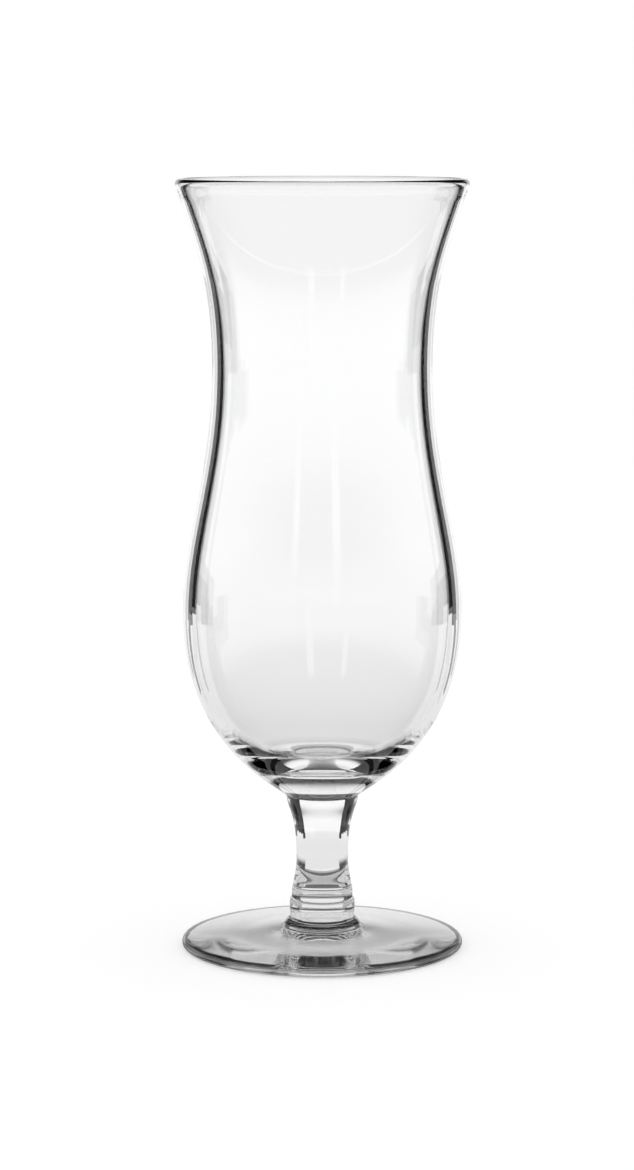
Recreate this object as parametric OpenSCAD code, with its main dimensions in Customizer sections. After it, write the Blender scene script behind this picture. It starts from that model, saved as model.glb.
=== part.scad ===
// Hurricane glass: a blown hourglass bowl, a solid stem, a ring and a pressed foot, fused end to end.
// Millimetres. The glass stands on z = 0 with its axis on the Z axis.

/* [Foot] */
// Diameter of the foot
foot_d = 77.2; // [66:0.2:90]
// Thickness of the foot at its rounded edge
foot_edge_t = 2.2; // [1.6:0.1:3.2]
// Height of the foot's top where it meets the boss
foot_crown_z = 5.2; // [4.2:0.1:6.4]
// Diameter of the boss where it rises from the foot
boss_d = 20.8; // [20:0.1:26]
// Diameter of the boss at its top
boss_top_d = 17; // [16.4:0.1:19.6]
// Height of the foot to the top of its boss
foot_h = 8; // [7.4:0.1:11]
// Radius of the hollow corner between the boss and the foot
boss_fillet_r = 0.8; // [0.4:0.1:1.4]
// How round the boss is above that corner, from a straight slope at 0 to a square shoulder at 1
boss_round_share = 0.3; // [0:0.05:1]
// Width of the flat ring that the glass stands on
rest_w = 5; // [3:0.5:9]
// Depth of the hollow under the foot
hollow_depth = 1.6; // [0.8:0.1:2.2]
// How far the hollow keeps its depth from the middle, as a share of its radius
hollow_level_share = 0.55; // [0.2:0.05:0.7]
// How far the hollow runs out level into the flat ring, as a share of its radius
hollow_landing_share = 0.4; // [0.1:0.05:0.6]

/* [Stem ring] */
// Height of the ring
ring_h = 5.2; // [4:0.1:7]
// Diameter of the ring at its middle
ring_d = 17.9; // [17.2:0.1:23]
// How much of the ring's height its two rounded shoulders take, as a share
ring_shoulder_share = 0.96; // [0.3:0.02:0.98]

/* [Stem] */
// Length of the stem
stem_h = 28.8; // [22:0.2:50]
// Diameter of the stem where it stands on the ring
stem_foot_d = 15.6; // [14.6:0.1:18]
// Diameter of the stem where it flares over the ring
stem_flare_d = 16.8; // [16:0.1:20]
// Height of the stem's rounded lower lip
stem_lip_h = 1.4; // [0.4:0.1:1.8]
// Least diameter of the stem
stem_waist_d = 14.2; // [11:0.1:16]
// Height of the least diameter above the ring
stem_waist_z = 11.3; // [8:0.1:14]
// Diameter of the stem where it meets the bowl
stem_top_d = 19.7; // [17:0.1:24]

/* [Bowl] */
// Height of the bowl from the stem to the top of the rim
bowl_h = 168; // [150:1:190]
// Outside diameter of the rim
rim_d = 79.2; // [70:0.2:90]
// Thickness of the wall just under the rim
rim_wall_t = 2.4; // [1.2:0.1:3]
// How much thicker the melted rim is than the wall under it
rim_swell = 0.3; // [0.1:0.1:0.8]
// Lean of the wall at the rim, in degrees from upright
rim_lean = 17; // [8:1:24]
// Outside diameter at the belly, the widest part below the waist
belly_d = 76.1; // [68:0.1:86]
// Height of the belly above the stem
belly_z = 51.1; // [44:0.1:58]
// Outside diameter at the waist
waist_d = 59.5; // [50:0.1:66]
// Height of the waist above the stem
waist_z = 116.2; // [104:0.2:126]
// Thickness of the wall at the waist
waist_wall_t = 3.05; // [1.4:0.05:4]
// Thickness of the wall at the belly
belly_wall_t = 3.4; // [1.4:0.1:5]
// Thickness of the base at the middle, from the stem to the bottom inside
base_t = 10.5; // [8:0.5:16]
// Diameter of the level middle of the bottom inside
well_d = 21; // [8:1:24]
// Rise of the bowl's underside where it leaves the stem, in degrees from level
base_rise = 40; // [30:1:55]

/* [Bowl curve] */
// How far the underside keeps the direction it leaves the stem in
base_reach = 6.5; // [3:0.5:12]
// How far the outside stays upright below the belly
belly_low_reach = 36; // [24:0.5:40]
// How far the outside stays upright above the belly
belly_high_reach = 19.6; // [12:0.2:30]
// How far the outside stays upright below the waist
waist_low_reach = 26.2; // [14:0.2:34]
// How far the outside stays upright above the waist
waist_high_reach = 25.2; // [14:0.2:32]
// How far the wall keeps its lean below the rim
rim_reach = 16.6; // [8:0.2:24]
// How far the bottom inside keeps level beyond its middle
well_reach = 10.5; // [6:0.5:18]
// How far the inside stays upright below the belly
inner_low_reach = 30; // [20:0.5:38]

/* [Stem curve] */
// How far the stem stays upright above its flared lower end
stem_flare_reach = 1.9; // [0.8:0.1:4]
// How far the stem stays upright below its least diameter
stem_low_reach = 4.6; // [3:0.1:8]
// How far the stem stays upright above its least diameter
stem_high_reach = 12.5; // [6:0.1:14]
// How far the stem stays upright below the bowl
stem_top_reach = 3.3; // [1:0.1:6]

/* [Hidden] */
$fn = 96;
// Straight pieces that stand for one span of a curve
span_steps = 16;
short_span_steps = 8;
clear_glass = [0.87, 0.91, 0.91, 0.45];
ring_z = foot_h;
stem_z = ring_z + ring_h;
bowl_z = stem_z + stem_h;
inner_belly_d = belly_d - 2 * belly_wall_t;
inner_waist_d = waist_d - 2 * waist_wall_t;
rim_t = rim_wall_t + rim_swell;
bead_z = bowl_h - rim_t / 2;
bead_x = (rim_d - rim_t) / 2;

// Point on a Bezier curve from a to d, where b and c are the ends of its two reaches
function curve(a, b, c, d, t) =
    pow(1 - t, 3) * a + 3 * pow(1 - t, 2) * t * b + 3 * (1 - t) * t * t * c + t * t * t * d;

// Points of a span from a up to, but without, d
function span(a, b, c, d, steps) = [for (i = [0 : steps - 1]) curve(a, b, c, d, i / steps)];

// Points of a span from an upright wall at one diameter to an upright wall at another
function upright_span(d0, z0, reach0, d1, z1, reach1) =
    span([d0 / 2, z0], [d0 / 2, z0 + reach0], [d1 / 2, z1 - reach1], [d1 / 2, z1], span_steps);

// Rounded shoulder from a level face at one diameter to an upright side at another
function shoulder(d0, z0, d1, z1) =
    span([d0 / 2, z0], [d1 / 2, z0], [d1 / 2, z0], [d1 / 2, z1], short_span_steps);

// Side of the bowl from the belly past the waist to the rim, for its own belly and waist, ending at rim_x
function bowl_side(side_belly_d, side_waist_d, rim_x) = concat(
    upright_span(side_belly_d, belly_z, belly_high_reach, side_waist_d, waist_z, waist_low_reach),
    span(
        [side_waist_d / 2, waist_z],
        [side_waist_d / 2, waist_z + waist_high_reach],
        [rim_x - rim_reach * sin(rim_lean), bead_z - rim_reach * cos(rim_lean)],
        [rim_x, bead_z],
        span_steps
    ),
    [[rim_x, bead_z]]
);

// Underside of the bowl, from the stem up to the belly
function bowl_underside() = span(
    [stem_top_d / 2, 0],
    [stem_top_d / 2 + base_reach * cos(base_rise), base_reach * sin(base_rise)],
    [belly_d / 2, belly_z - belly_low_reach],
    [belly_d / 2, belly_z],
    span_steps
);

// Bottom inside the bowl, from its level middle up to the belly
function bowl_bottom() = span(
    [well_d / 2, base_t],
    [well_d / 2 + well_reach, base_t],
    [inner_belly_d / 2, belly_z - inner_low_reach],
    [inner_belly_d / 2, belly_z],
    span_steps
);

// List of points in the opposite order
function reversed(points) = [for (i = [len(points) - 1 : -1 : 0]) points[i]];

// Pressed disc on a flat ring, with a boss in the middle and a shallow hollow underneath
module foot() {
    edge_r = foot_edge_t / 2;
    edge_x = foot_d / 2 - edge_r;
    rest_x = edge_x - rest_w;
    crown_x = boss_d / 2 + boss_fillet_r;
    fall = atan2(foot_crown_z - foot_edge_t, edge_x - crown_x);
    fillet_top_z = foot_crown_z + boss_fillet_r;
    boss_rise = foot_h - fillet_top_z;
    boss_taper = (boss_d - boss_top_d) / 2;
    color(clear_glass)
        rotate_extrude() {
            translate([edge_x, edge_r])
                circle(r = edge_r);
            polygon(concat(
                span(
                    [0, hollow_depth],
                    [rest_x * hollow_level_share, hollow_depth],
                    [rest_x * (1 - hollow_landing_share), 0],
                    [rest_x, 0],
                    span_steps
                ),
                [[rest_x, 0], [edge_x, 0]],
                [edge_r * [sin(fall), cos(fall)] + [edge_x, edge_r]],
                span(
                    [crown_x, foot_crown_z],
                    [boss_d / 2, foot_crown_z],
                    [boss_d / 2, foot_crown_z],
                    [boss_d / 2, fillet_top_z],
                    short_span_steps
                ),
                span(
                    [boss_d / 2, fillet_top_z],
                    [boss_d / 2, fillet_top_z + boss_rise * boss_round_share],
                    [boss_top_d / 2 + boss_taper * boss_round_share, foot_h],
                    [boss_top_d / 2, foot_h],
                    short_span_steps
                ),
                [[boss_top_d / 2, foot_h], [0, foot_h]]
            ));
        }
}

// Round bead between the foot and the stem
module stem_ring() {
    shoulder_h = ring_h / 2 * ring_shoulder_share;
    lower = shoulder(boss_top_d, 0, ring_d, shoulder_h);
    upper = shoulder(stem_foot_d, ring_h, ring_d, ring_h - shoulder_h);
    color(clear_glass)
        translate([0, 0, ring_z])
            rotate_extrude()
                polygon(concat(
                    [[0, 0]],
                    lower,
                    [[ring_d / 2, shoulder_h], [ring_d / 2, ring_h - shoulder_h]],
                    reversed(upper),
                    [[0, ring_h]]
                ));
}

// Solid spool that carries the bowl
module stem() {
    color(clear_glass)
        translate([0, 0, stem_z])
            rotate_extrude()
                polygon(concat(
                    [[0, 0]],
                    shoulder(stem_foot_d, 0, stem_flare_d, stem_lip_h),
                    upright_span(
                        stem_flare_d, stem_lip_h, stem_flare_reach, stem_waist_d, stem_waist_z, stem_low_reach
                    ),
                    upright_span(stem_waist_d, stem_waist_z, stem_high_reach, stem_top_d, stem_h, stem_top_reach),
                    [[stem_top_d / 2, stem_h], [0, stem_h]]
                ));
}

// Blown vessel with a thick base, a narrow waist and a flared, melted rim
module bowl() {
    outside = concat(bowl_underside(), bowl_side(belly_d, waist_d, bead_x + rim_wall_t / 2));
    inside = concat(bowl_bottom(), bowl_side(inner_belly_d, inner_waist_d, bead_x - rim_wall_t / 2));
    color(clear_glass)
        translate([0, 0, bowl_z])
            rotate_extrude() {
                translate([bead_x, bead_z])
                    circle(d = rim_t);
                polygon(concat([[0, 0]], outside, reversed(inside), [[0, base_t]]));
            }
}

foot();
stem_ring();
stem();
bowl();
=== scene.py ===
"""Hurricane glass: its four fused pieces in clear glass, standing in a white studio."""
import math

import bpy
import numpy as np
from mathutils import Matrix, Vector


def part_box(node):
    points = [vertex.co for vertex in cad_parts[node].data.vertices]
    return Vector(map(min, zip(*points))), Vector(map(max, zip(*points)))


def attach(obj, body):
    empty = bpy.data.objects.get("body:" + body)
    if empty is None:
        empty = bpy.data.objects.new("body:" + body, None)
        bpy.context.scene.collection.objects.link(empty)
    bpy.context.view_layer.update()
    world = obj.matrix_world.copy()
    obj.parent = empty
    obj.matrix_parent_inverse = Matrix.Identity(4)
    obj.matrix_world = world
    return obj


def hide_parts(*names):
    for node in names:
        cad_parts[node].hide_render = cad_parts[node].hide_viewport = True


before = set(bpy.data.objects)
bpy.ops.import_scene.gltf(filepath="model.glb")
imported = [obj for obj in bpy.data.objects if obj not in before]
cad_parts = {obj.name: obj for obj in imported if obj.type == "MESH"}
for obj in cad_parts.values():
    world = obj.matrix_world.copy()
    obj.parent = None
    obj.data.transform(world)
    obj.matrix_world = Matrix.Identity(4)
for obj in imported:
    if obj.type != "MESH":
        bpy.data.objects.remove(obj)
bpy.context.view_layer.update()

# Units and fineness
MM = 0.001
TURNS = 224
SPAN_STEPS = 40
FLARE_STEPS = 80
SHORT_STEPS = 14
SAME_PLACE = 1e-7
SHARP_ANGLE = math.radians(32)

# Sizes of the foot, in metres, beside what the frame gives
FOOT_EDGE_R = 1.1 * MM
FOOT_CROWN_Z = 5.2 * MM
BOSS_R = 10.4 * MM
BOSS_TOP_R = 8.5 * MM
BOSS_FILLET_R = 0.8 * MM
BOSS_ROUND_SHARE = 0.3
REST_W = 5.0 * MM
HOLLOW_DEPTH = 1.6 * MM
HOLLOW_LEVEL_SHARE = 0.55
HOLLOW_LANDING_SHARE = 0.4
# Share of the falling top after which its points close up towards the boss
FALL_SPACING_SHARE = 0.4

# Sizes of the ring and the stem
RING_SHOULDER_SHARE = 0.96
STEM_FOOT_R = 7.8 * MM
STEM_FLARE_R = 8.4 * MM
STEM_LIP_H = 1.4 * MM
STEM_WAIST_R = 7.1 * MM
STEM_WAIST_RISE = 11.3 * MM
STEM_FLARE_REACH = 1.9 * MM
STEM_LOW_REACH = 4.6 * MM
STEM_HIGH_REACH = 12.5 * MM
STEM_TOP_REACH = 3.3 * MM

# Sizes of the bowl
RIM_T = 2.7 * MM
RIM_SWELL = 0.3 * MM
RIM_SWELL_H = 4.0 * MM
RIM_LEAN = math.radians(17)
RIM_REACH = 16.6 * MM
BELLY_R = 38.05 * MM
BELLY_RISE = 51.1 * MM
BELLY_LOW_REACH = 36.0 * MM
BELLY_HIGH_REACH = 19.6 * MM
WAIST_R = 29.75 * MM
WAIST_RISE = 116.2 * MM
WAIST_LOW_REACH = 26.2 * MM
WAIST_HIGH_REACH = 25.2 * MM
WAIST_WALL_T = 3.05 * MM
BELLY_WALL_T = 3.4 * MM
BASE_T = 10.5 * MM
BASE_RISE = math.radians(40)
BASE_REACH = 6.5 * MM
WELL_R = 10.5 * MM
WELL_REACH = 10.5 * MM
INNER_LOW_REACH = 30.0 * MM

# Look of all the glass: how slowly the ripples change along the height, and how fine tint and haze are
GLASS_IOR = 1.52
CLEAR_TINT = (1.0, 1.0, 1.0)
RIPPLE_STRETCH = (1.0, 1.0, 0.3)
RIPPLE_DETAIL = 1.0
TINT_SCALE = 24.0
HAZE_SCALE = 70.0
# Noise at which the haze starts to grow, and noise at which it is full
HAZE_START = 0.5
HAZE_FULL = 0.8

# The bowl is blown and ripples more; the pressed pieces are a little hazier
BLOWN_LOOK = {
    "ripple_scale": 60.0,
    "ripple_h": 0.02 * MM,
    "dense_tint": (0.992, 0.997, 0.995),
    "least_haze": 0.0,
    "most_haze": 0.02,
}
PRESSED_LOOK = {
    "ripple_scale": 70.0,
    "ripple_h": 0.003 * MM,
    "dense_tint": (0.988, 0.995, 0.993),
    "least_haze": 0.035,
    "most_haze": 0.055,
}

# Camera, fitted to the ellipses of the rim and the foot
PHOTO_W, PHOTO_H = 634, 1170
FOCAL_PX = 3450.0
AXIS_PX = 322.3
SENSOR_W = 36.0
CAMERA_DISTANCE = 0.931
CAMERA_HEIGHT = 0.2285
CAMERA_TILT = math.radians(7.86)

# Floor, a hair below the glass, with the painted rings of contact shadow round the foot's edge in between
FLOOR_GAP = 0.2 * MM
CONTACT_GAP = 0.1 * MM
FLOOR_R = 1.3
FLOOR_SIDES = 96
FLOOR_TONE = 0.8
# Distance from the axis, as a share of the floor's radius, and glow of the floor as the glass sees it; this
# glow is painted light, brightest under the foot, gone a little way out, and lifting the far floor towards
# white
FLOOR_PAINTED_GLOW = ((0.0, 0.34), (0.03, 0.34), (0.05, 0.05), (0.15, 0.0), (0.7, 0.2), (1.0, 0.2))
# Glow that brings the floor up to white for the camera
CAMERA_LIFT = 0.26

# Height, as the sine of its angle, and tone of the backdrop as the glass sees it
BACKDROP = (
    (0.0, 1.0),
    (0.08, 1.0),
    (0.13, 0.92),
    (0.17, 0.8),
    (0.21, 0.5),
    (0.25, 0.15),
    (0.29, 0.03),
    (1.0, 0.03),
)
# Tone of the front, and how far a direction points forward where it is full and where it starts
FRONT_TONE = 0.92
FRONT_FULL = -0.5
FRONT_START = 0.0

# Screens: two bearings from the back, in degrees, two edges as distance and height in metres, and a tone
CARD_STEPS = 36
CARD_R = 0.6
STRIP_R = 0.5
# Inner edge of the painted shadow on the floor round the foot
PAINTED_SHADOW_R = 0.047
BLACK = 0.004
WHITE = 1.0
SIDE_SCREENS = (
    ("card", 29, 57, (CARD_R, 0.03), (CARD_R, 0.52), BLACK),
    ("foot_card", 29, 48, (CARD_R, 0.012), (CARD_R, 0.03), BLACK),
    ("toe_card", 29, 40, (CARD_R, 0.0), (CARD_R, 0.012), BLACK),
    ("low_card", 57, 75, (CARD_R, 0.0), (CARD_R, 0.1), BLACK),
    ("line_mat", 28, 34, (0.3, 0.0), (CARD_R, 0.0), BLACK),
    # painted shadow: dark sheets on the floor beside the foot, graded from black to grey outwards, seen only
    # by the glass
    ("near_painted_shadow", 28, 75, (PAINTED_SHADOW_R, 0.0), (0.07, 0.0), BLACK),
    ("middle_painted_shadow", 28, 75, (0.07, 0.0), (0.082, 0.0), 0.25),
    ("far_painted_shadow", 28, 75, (0.082, 0.0), (0.095, 0.0), 0.6),
)
SINGLE_SCREENS = (
    # painted shadow: dark sheets on the floor behind the foot, seen only by the glass
    ("back_near_painted_shadow", -28, 29, (PAINTED_SHADOW_R, 0.0), (0.052, 0.0), 0.1),
    ("back_far_painted_shadow", -28, 29, (0.052, 0.0), (0.056, 0.0), 0.4),
    # painted contact shadow: a black ring under and just outside the foot's edge and a grey ring beyond it,
    # seen only by the glass
    ("contact_painted_shadow", -180, 180, (0.0368, -CONTACT_GAP), (0.042, -CONTACT_GAP), BLACK),
    ("contact_edge_painted_shadow", -180, 180, (0.042, -CONTACT_GAP), (PAINTED_SHADOW_R, -CONTACT_GAP), 0.45),
    ("left_strip", 201, 206, (STRIP_R, 0.02), (STRIP_R, 0.4), WHITE),
    ("right_strip", 164, 171, (STRIP_R, 0.02), (STRIP_R, 0.4), WHITE),
)

# Turns that light may take inside the glass
LIGHT_BOUNCES = 40


def curve(points, steps):
    """Cubic Bezier through the first and last of four points, bent towards the middle two."""
    t = np.linspace(0, 1, steps + 1)[:, None]
    a, b, c, d = (np.array(p, dtype=float) for p in points)
    return (1 - t) ** 3 * a + 3 * (1 - t) ** 2 * t * b + 3 * (1 - t) * t ** 2 * c + t ** 3 * d


def upright_span(r0, z0, reach0, r1, z1, reach1):
    """S curve from an upright side at one radius and height to an upright side at another."""
    return curve([(r0, z0), (r0, z0 + reach0), (r1, z1 - reach1), (r1, z1)], SPAN_STEPS)


def shoulder(r0, z0, r1, z1):
    """Quarter bend from a level face at r0, z0 to an upright side at r1, z1."""
    return curve([(r0, z0), (r1, z0), (r1, z0), (r1, z1)], SHORT_STEPS)


def arc(centre, radius, start, end, steps):
    """Circular arc about a centre, from one angle to another."""
    angle = np.linspace(start, end, steps + 1)[:, None]
    return np.array(centre) + radius * np.hstack([np.cos(angle), np.sin(angle)])


def chain(*spans):
    """Joins spans end to end and drops the points that two neighbours share."""
    line = np.vstack(spans)
    step = np.linalg.norm(np.diff(line, axis=0), axis=1)
    return line[np.concatenate([[True], step > SAME_PLACE])]


def add_mesh(name, verts, faces):
    """New mesh object at the origin, from an array of vertices and a list of faces."""
    mesh = bpy.data.meshes.new(name)
    mesh.from_pydata(verts.tolist(), [], faces)
    obj = bpy.data.objects.new(name, mesh)
    bpy.context.collection.objects.link(obj)
    return obj


def revolve(name, outline, joints):
    """Closed solid: an outline of radius and height, from axis to axis, turned once round Z.

    A point of the grid at outline position i and angle a is (r_i cos a, r_i sin a, z_i). The outline starts
    and ends on the axis, where one vertex closes each pole. Faces at a height listed in joints, and level with
    it, are the fused ones, and take the second material.
    """
    angle = np.linspace(0, 2 * math.pi, TURNS, endpoint=False)
    r, z = outline[1:-1, :1], outline[1:-1, 1:]
    grid = np.stack([r * np.cos(angle), r * np.sin(angle), z + 0 * angle], axis=-1).reshape(-1, 3)
    poles = np.array([[0, 0, outline[0, 1]], [0, 0, outline[-1, 1]]])
    here = np.arange(len(grid)).reshape(len(r), TURNS)
    beside = np.roll(here, -1, axis=1)
    low, high = len(grid), len(grid) + 1
    quads = np.stack([here[:-1], beside[:-1], beside[1:], here[1:]], axis=-1).reshape(-1, 4)
    under = np.stack([0 * here[0] + low, beside[0], here[0]], axis=-1)
    over = np.stack([0 * here[-1] + high, here[-1], beside[-1]], axis=-1)
    piece = add_mesh(name, np.vstack([grid, poles]), quads.tolist() + under.tolist() + over.tolist())
    ends = np.stack([outline[:-1, 1], outline[1:, 1]], axis=-1)
    level = [np.all(np.abs(ends - joint) < SAME_PLACE, axis=1) for joint in joints]
    fused = np.any(level, axis=0).astype(np.int32)
    slots = np.concatenate([np.repeat(fused[1:-1], TURNS), np.repeat(fused[[0, -1]], TURNS)])
    mesh = piece.data
    mesh.polygons.foreach_set("material_index", slots)
    mesh.polygons.foreach_set("use_smooth", slots == 0)
    mesh.set_sharp_from_angle(angle=SHARP_ANGLE)
    mesh.update()
    return piece


def foot_outline(foot_r, top_z):
    """From axis to axis: hollow underneath, flat ring, half-round edge, falling top, corner and boss."""
    edge_x = foot_r - FOOT_EDGE_R
    rest_x = edge_x - REST_W
    level_end = (rest_x * HOLLOW_LEVEL_SHARE, HOLLOW_DEPTH)
    landing = (rest_x * (1 - HOLLOW_LANDING_SHARE), 0)
    crown = np.array([BOSS_R + BOSS_FILLET_R, FOOT_CROWN_Z])
    fall = math.atan2(FOOT_CROWN_Z - 2 * FOOT_EDGE_R, edge_x - crown[0])
    edge = arc((edge_x, FOOT_EDGE_R), FOOT_EDGE_R, -math.pi / 2, math.pi / 2 - fall, SHORT_STEPS)
    on_fall = edge[-1] * (1 - FALL_SPACING_SHARE) + crown * FALL_SPACING_SHARE
    corner_z = FOOT_CROWN_Z + BOSS_FILLET_R
    round_z = corner_z + (top_z - corner_z) * BOSS_ROUND_SHARE
    round_r = BOSS_TOP_R + (BOSS_R - BOSS_TOP_R) * BOSS_ROUND_SHARE
    return chain(
        curve([(0, HOLLOW_DEPTH), level_end, landing, (rest_x, 0)], SPAN_STEPS),
        edge,
        curve([edge[-1], on_fall, crown, crown], SHORT_STEPS),
        curve([crown, (BOSS_R, FOOT_CROWN_Z), (BOSS_R, FOOT_CROWN_Z), (BOSS_R, corner_z)], SHORT_STEPS),
        curve([(BOSS_R, corner_z), (BOSS_R, round_z), (round_r, top_z), (BOSS_TOP_R, top_z)], SHORT_STEPS),
        [(0, top_z)],
    )


def ring_outline(ring_r, low_z, high_z):
    """Round bead between two level faces."""
    shoulder_h = (high_z - low_z) / 2 * RING_SHOULDER_SHARE
    return chain(
        [(0, low_z)],
        shoulder(BOSS_TOP_R, low_z, ring_r, low_z + shoulder_h),
        shoulder(STEM_FOOT_R, high_z, ring_r, high_z - shoulder_h)[::-1],
        [(0, high_z)],
    )


def stem_outline(top_r, low_z, high_z):
    """Rounded lip, S curve in to the least radius and S curve out to the bowl."""
    lip_z, waist_z = low_z + STEM_LIP_H, low_z + STEM_WAIST_RISE
    return chain(
        [(0, low_z)],
        shoulder(STEM_FOOT_R, low_z, STEM_FLARE_R, lip_z),
        upright_span(STEM_FLARE_R, lip_z, STEM_FLARE_REACH, STEM_WAIST_R, waist_z, STEM_LOW_REACH),
        upright_span(STEM_WAIST_R, waist_z, STEM_HIGH_REACH, top_r, high_z, STEM_TOP_REACH),
        [(0, high_z)],
    )


def bowl_side(belly_inset, waist_inset, rim_end, seat_z, tuck):
    """Side from the belly past the waist to the rim, drawn in by one inset at the belly and one at the waist.

    Below the rim it is tucked towards the middle of the wall, which leaves the rim a little fatter. With s for
    the depth below the rim, the tuck grows as 3 s squared less 2 s cubed. It fades out to the waist.
    """
    belly_r, belly_z = BELLY_R - belly_inset, seat_z + BELLY_RISE
    waist_r, waist_z = WAIST_R - waist_inset, seat_z + WAIST_RISE
    lower = upright_span(belly_r, belly_z, BELLY_HIGH_REACH, waist_r, waist_z, WAIST_LOW_REACH)
    lean = np.array([math.sin(RIM_LEAN), math.cos(RIM_LEAN)])
    flare = curve(
        [(waist_r, waist_z), (waist_r, waist_z + WAIST_HIGH_REACH), rim_end - RIM_REACH * lean, rim_end],
        FLARE_STEPS,
    )
    depth = np.clip((rim_end[1] - flare[:, 1]) / RIM_SWELL_H, 0, 1)
    ease = depth * depth * (3 - 2 * depth)
    fade = np.clip((flare[:, 1] - waist_z) / WAIST_HIGH_REACH, 0, 1)
    flare[:, 0] += tuck * ease * fade
    return chain(lower, flare)


def bowl_outline(rim_r, seat_r, seat_z, rim_z):
    """Seat, underside, outer side, half-round rim, inner side and bottom inside, from axis to axis."""
    belly_z, well_z = seat_z + BELLY_RISE, seat_z + BASE_T
    inner_r = BELLY_R - BELLY_WALL_T
    seat = np.array([seat_r, seat_z])
    rise = BASE_REACH * np.array([math.cos(BASE_RISE), math.sin(BASE_RISE)])
    rim = arc((rim_r - RIM_T / 2, rim_z - RIM_T / 2), RIM_T / 2, -RIM_LEAN, math.pi - RIM_LEAN, SHORT_STEPS)
    belly_low = (BELLY_R, belly_z - BELLY_LOW_REACH)
    underside = curve([seat, seat + rise, belly_low, (BELLY_R, belly_z)], SPAN_STEPS)
    well_end = (WELL_R + WELL_REACH, well_z)
    inner_low = (inner_r, belly_z - INNER_LOW_REACH)
    bottom = curve([(WELL_R, well_z), well_end, inner_low, (inner_r, belly_z)], SPAN_STEPS)
    outside = bowl_side(0, 0, rim[0], seat_z, -RIM_SWELL / 2)
    inside = bowl_side(BELLY_WALL_T, WAIST_WALL_T, rim[-1], seat_z, RIM_SWELL / 2)
    return chain([(0, seat_z)], underside, outside, rim, inside[::-1], bottom[::-1], [(0, well_z)])


def surface_group():
    """Node group for what varies over clear glass: faint ripples, a faint tint and a faint haze of handling.

    Each of the three follows noise in the piece's own space; the ripples are drawn out along the height.
    """
    group = bpy.data.node_groups.new("glass_surface", "ShaderNodeTree")
    for name, way, kind in (
        ("Coordinates", "INPUT", "NodeSocketVector"),
        ("Ripple Scale", "INPUT", "NodeSocketFloat"),
        ("Clear Tint", "INPUT", "NodeSocketColor"),
        ("Dense Tint", "INPUT", "NodeSocketColor"),
        ("Least Haze", "INPUT", "NodeSocketFloat"),
        ("Most Haze", "INPUT", "NodeSocketFloat"),
        ("Ripple", "OUTPUT", "NodeSocketFloat"),
        ("Tint", "OUTPUT", "NodeSocketColor"),
        ("Haze", "OUTPUT", "NodeSocketFloat"),
    ):
        group.interface.new_socket(name, in_out=way, socket_type=kind)
    nodes, links = group.nodes, group.links
    given = nodes.new("NodeGroupInput")
    out = nodes.new("NodeGroupOutput")
    drawn = nodes.new("ShaderNodeVectorMath")
    drawn.operation = "MULTIPLY"
    drawn.inputs[1].default_value = RIPPLE_STRETCH
    links.new(given.outputs["Coordinates"], drawn.inputs[0])
    ripple = nodes.new("ShaderNodeTexNoise")
    ripple.inputs["Detail"].default_value = RIPPLE_DETAIL
    links.new(drawn.outputs[0], ripple.inputs["Vector"])
    links.new(given.outputs["Ripple Scale"], ripple.inputs["Scale"])
    links.new(ripple.outputs["Fac"], out.inputs["Ripple"])
    cloud = nodes.new("ShaderNodeTexNoise")
    cloud.inputs["Scale"].default_value = TINT_SCALE
    links.new(given.outputs["Coordinates"], cloud.inputs["Vector"])
    tint = nodes.new("ShaderNodeMix")
    tint.data_type = "RGBA"
    links.new(cloud.outputs["Fac"], tint.inputs["Factor"])
    links.new(given.outputs["Clear Tint"], tint.inputs["A"])
    links.new(given.outputs["Dense Tint"], tint.inputs["B"])
    links.new(tint.outputs["Result"], out.inputs["Tint"])
    smear = nodes.new("ShaderNodeTexNoise")
    smear.inputs["Scale"].default_value = HAZE_SCALE
    links.new(given.outputs["Coordinates"], smear.inputs["Vector"])
    patch = nodes.new("ShaderNodeMapRange")
    patch.inputs["From Min"].default_value = HAZE_START
    patch.inputs["From Max"].default_value = HAZE_FULL
    links.new(smear.outputs["Fac"], patch.inputs["Value"])
    links.new(given.outputs["Least Haze"], patch.inputs["To Min"])
    links.new(given.outputs["Most Haze"], patch.inputs["To Max"])
    links.new(patch.outputs[0], out.inputs["Haze"])
    return group


def glass_material(name, group, ripple_scale, ripple_h, dense_tint, least_haze, most_haze):
    """Clear glass with its own ripple, tint and haze."""
    mat = bpy.data.materials.new(name)
    mat.use_nodes = True
    nodes, links = mat.node_tree.nodes, mat.node_tree.links
    shader = nodes["Principled BSDF"]
    shader.inputs["IOR"].default_value = GLASS_IOR
    shader.inputs["Transmission Weight"].default_value = 1.0
    coords = nodes.new("ShaderNodeTexCoord")
    surface = nodes.new("ShaderNodeGroup")
    surface.node_tree = group
    surface.inputs["Ripple Scale"].default_value = ripple_scale
    surface.inputs["Clear Tint"].default_value = (*CLEAR_TINT, 1)
    surface.inputs["Dense Tint"].default_value = (*dense_tint, 1)
    surface.inputs["Least Haze"].default_value = least_haze
    surface.inputs["Most Haze"].default_value = most_haze
    links.new(coords.outputs["Object"], surface.inputs["Coordinates"])
    links.new(surface.outputs["Tint"], shader.inputs["Base Color"])
    links.new(surface.outputs["Haze"], shader.inputs["Roughness"])
    bump = nodes.new("ShaderNodeBump")
    bump.inputs["Distance"].default_value = ripple_h
    links.new(surface.outputs["Ripple"], bump.inputs["Height"])
    links.new(bump.outputs["Normal"], shader.inputs["Normal"])
    return mat


def fused_material():
    """Fused glass inside a joint: light crosses it without bending or reflecting."""
    mat = bpy.data.materials.new("fused_joint")
    mat.use_nodes = True
    shader = mat.node_tree.nodes["Principled BSDF"]
    shader.inputs["Base Color"].default_value = (*CLEAR_TINT, 1)
    shader.inputs["Transmission Weight"].default_value = 1.0
    shader.inputs["Alpha"].default_value = 0.0
    return mat


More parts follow.
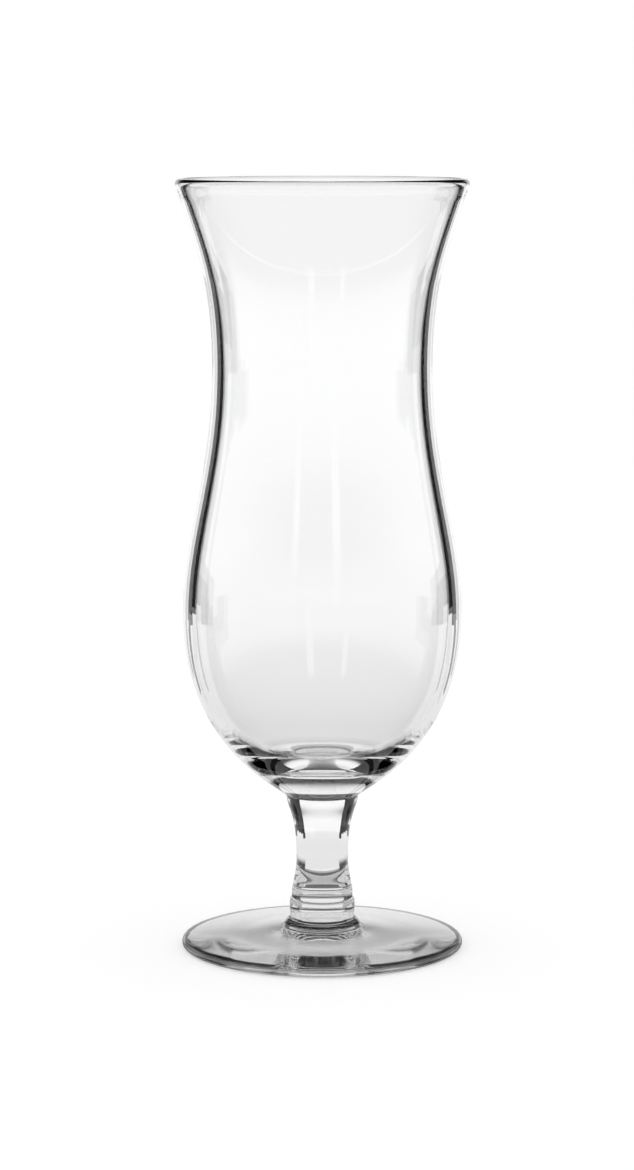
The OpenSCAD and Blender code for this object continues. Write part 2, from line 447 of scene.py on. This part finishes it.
def place(piece, node, glass, fused):
    """Gives a piece its glass, sets it on the body and lets it stand for its solid."""
    piece.data.materials.append(glass)
    piece.data.materials.append(fused)
    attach(piece, "root")
    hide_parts(node)


def build_glass():
    """The four pieces, at the heights and radii of the frame."""
    foot_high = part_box("foot")[1]
    ring_low, ring_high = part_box("stem_ring")
    stem_low, stem_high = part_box("stem")
    bowl_low, bowl_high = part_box("bowl")
    surface = surface_group()
    blown = glass_material("blown_glass", surface, **BLOWN_LOOK)
    pressed = glass_material("pressed_glass", surface, **PRESSED_LOOK)
    fused = fused_material()
    foot_line = foot_outline(foot_high.x, foot_high.z)
    foot = revolve("foot_glass", foot_line, [foot_high.z])
    place(foot, "foot", pressed, fused)
    ring_line = ring_outline(ring_high.x, ring_low.z, ring_high.z)
    ring = revolve("stem_ring_glass", ring_line, [ring_low.z, ring_high.z])
    place(ring, "stem_ring", pressed, fused)
    stem_line = stem_outline(stem_high.x, stem_low.z, stem_high.z)
    stem = revolve("stem_glass", stem_line, [stem_low.z, stem_high.z])
    place(stem, "stem", pressed, fused)
    bowl_line = bowl_outline(bowl_high.x, stem_high.x, bowl_low.z, bowl_high.z)
    bowl = revolve("bowl_glass", bowl_line, [bowl_low.z])
    place(bowl, "bowl", blown, fused)


def build_camera():
    """Camera at the photo's distance, height and tilt, aside enough to put the axis where it is there."""
    data = bpy.data.cameras.new("camera")
    data.sensor_width = SENSOR_W
    data.lens = FOCAL_PX / PHOTO_H * SENSOR_W
    aside = (PHOTO_W / 2 - AXIS_PX) / FOCAL_PX * CAMERA_DISTANCE
    camera = bpy.data.objects.new("camera", data)
    camera.location = (aside, -CAMERA_DISTANCE, CAMERA_HEIGHT)
    camera.rotation_euler = (math.pi / 2 - CAMERA_TILT, 0, 0)
    bpy.context.collection.objects.link(camera)
    bpy.context.scene.camera = camera


def grey(tone):
    """Colour of an even tone."""
    return (tone, tone, tone, 1)


def tone_ramp(nodes, stops):
    """Ramp of greys through pairs of place and tone."""
    ramp = nodes.new("ShaderNodeValToRGB")
    marks = ramp.color_ramp.elements
    marks[0].position, marks[1].position = stops[0][0], stops[-1][0]
    for spot, _ in stops[1:-1]:
        marks.new(spot)
    for mark, (_, tone) in zip(marks, stops):
        mark.color = grey(tone)
    return ramp


def build_floor():
    """Pale disc just under the glass, brought up to white for the camera and with a painted glow for the
    glass, brightest under the foot.
    """
    angle = np.linspace(0, 2 * math.pi, FLOOR_SIDES, endpoint=False)
    ring = np.stack([FLOOR_R * np.cos(angle), FLOOR_R * np.sin(angle), 0 * angle - FLOOR_GAP], axis=-1)
    floor = add_mesh("floor", ring, [list(range(FLOOR_SIDES))])
    mat = bpy.data.materials.new("floor")
    mat.use_nodes = True
    nodes, links = mat.node_tree.nodes, mat.node_tree.links
    nodes.clear()
    out = nodes.new("ShaderNodeOutputMaterial")
    matte = nodes.new("ShaderNodeBsdfDiffuse")
    matte.inputs["Color"].default_value = grey(FLOOR_TONE)
    coords = nodes.new("ShaderNodeTexCoord")
    away = nodes.new("ShaderNodeVectorMath")
    away.operation = "LENGTH"
    links.new(coords.outputs["Object"], away.inputs[0])
    share = nodes.new("ShaderNodeMath")
    share.operation = "DIVIDE"
    share.inputs[1].default_value = FLOOR_R
    links.new(away.outputs["Value"], share.inputs[0])
    # painted light: the floor glows brightest under the foot, as the glass sees it
    fade = tone_ramp(nodes, FLOOR_PAINTED_GLOW)
    links.new(share.outputs[0], fade.inputs["Fac"])
    path = nodes.new("ShaderNodeLightPath")
    lift = nodes.new("ShaderNodeMix")
    lift.data_type = "FLOAT"
    lift.inputs["B"].default_value = CAMERA_LIFT
    links.new(path.outputs["Is Camera Ray"], lift.inputs["Factor"])
    links.new(fade.outputs["Color"], lift.inputs["A"])
    glow = nodes.new("ShaderNodeEmission")
    links.new(lift.outputs["Result"], glow.inputs["Strength"])
    add = nodes.new("ShaderNodeAddShader")
    links.new(matte.outputs[0], add.inputs[0])
    links.new(glow.outputs[0], add.inputs[1])
    links.new(add.outputs[0], out.inputs["Surface"])
    floor.data.materials.append(mat)


def screen_material(tone):
    """Even tone that needs no light."""
    mat = bpy.data.materials.new("screen")
    mat.use_nodes = True
    nodes = mat.node_tree.nodes
    nodes.clear()
    out = nodes.new("ShaderNodeOutputMaterial")
    even = nodes.new("ShaderNodeEmission")
    even.inputs["Color"].default_value = grey(tone)
    mat.node_tree.links.new(even.outputs[0], out.inputs["Surface"])
    return mat


def add_screen(name, first, last, low, high, tone):
    """Studio card, strip or floor mat bent round the glass; only the glass sees it; the mats round the foot
    are painted shadow.

    A point at bearing b on an edge is (r sin b, r cos b, z), with that edge's distance r and height z.
    """
    turn = np.radians(np.linspace(first, last, CARD_STEPS + 1))
    edges = [np.stack([r * np.sin(turn), r * np.cos(turn), z + 0 * turn], axis=-1) for r, z in (low, high)]
    here = np.arange(CARD_STEPS)
    faces = np.stack([here, here + 1, here + CARD_STEPS + 2, here + CARD_STEPS + 1], axis=-1)
    screen = add_mesh(name, np.vstack(edges), faces.tolist())
    screen.data.materials.append(screen_material(tone))
    screen.visible_camera = False
    screen.visible_diffuse = False
    screen.visible_shadow = False


def build_screens():
    """The screens that stand alike on both sides, and the single ones."""
    for name, first, last, low, high, tone in SIDE_SCREENS:
        add_screen("right_" + name, first, last, low, high, tone)
        add_screen("left_" + name, -last, -first, low, high, tone)
    for screen in SINGLE_SCREENS:
        add_screen(*screen)


def build_world():
    """White surroundings; the glass itself sees them fall off towards a dark ceiling and a grey front."""
    world = bpy.data.worlds.new("studio")
    bpy.context.scene.world = world
    world.use_nodes = True
    nodes, links = world.node_tree.nodes, world.node_tree.links
    sky = nodes["Background"]
    coords = nodes.new("ShaderNodeTexCoord")
    split = nodes.new("ShaderNodeSeparateXYZ")
    links.new(coords.outputs["Generated"], split.inputs[0])
    fall = tone_ramp(nodes, BACKDROP)
    links.new(split.outputs["Z"], fall.inputs["Fac"])
    front = nodes.new("ShaderNodeMapRange")
    front.inputs["From Min"].default_value = FRONT_FULL
    front.inputs["From Max"].default_value = FRONT_START
    front.inputs["To Min"].default_value = FRONT_TONE
    front.inputs["To Max"].default_value = WHITE
    links.new(split.outputs["Y"], front.inputs["Value"])
    level = nodes.new("ShaderNodeMath")
    level.operation = "MULTIPLY"
    links.new(fall.outputs["Color"], level.inputs[0])
    links.new(front.outputs[0], level.inputs[1])
    path = nodes.new("ShaderNodeLightPath")
    seen = nodes.new("ShaderNodeMath")
    seen.operation = "MAXIMUM"
    links.new(path.outputs["Is Glossy Ray"], seen.inputs[0])
    links.new(path.outputs["Is Transmission Ray"], seen.inputs[1])
    direct = nodes.new("ShaderNodeMath")
    direct.operation = "SUBTRACT"
    direct.use_clamp = True
    links.new(seen.outputs[0], direct.inputs[0])
    links.new(path.outputs["Diffuse Depth"], direct.inputs[1])
    mix = nodes.new("ShaderNodeMix")
    mix.data_type = "FLOAT"
    mix.inputs["A"].default_value = WHITE
    links.new(direct.outputs[0], mix.inputs["Factor"])
    links.new(level.outputs[0], mix.inputs["B"])
    links.new(mix.outputs["Result"], sky.inputs["Strength"])
    sky.inputs["Color"].default_value = grey(WHITE)


build_glass()
build_camera()
build_floor()
build_screens()
build_world()

scene = bpy.context.scene
scene.view_settings.view_transform = "Standard"
scene.cycles.max_bounces = LIGHT_BOUNCES
scene.cycles.transmission_bounces = LIGHT_BOUNCES
scene.cycles.glossy_bounces = LIGHT_BOUNCES
scene.cycles.transparent_max_bounces = LIGHT_BOUNCES
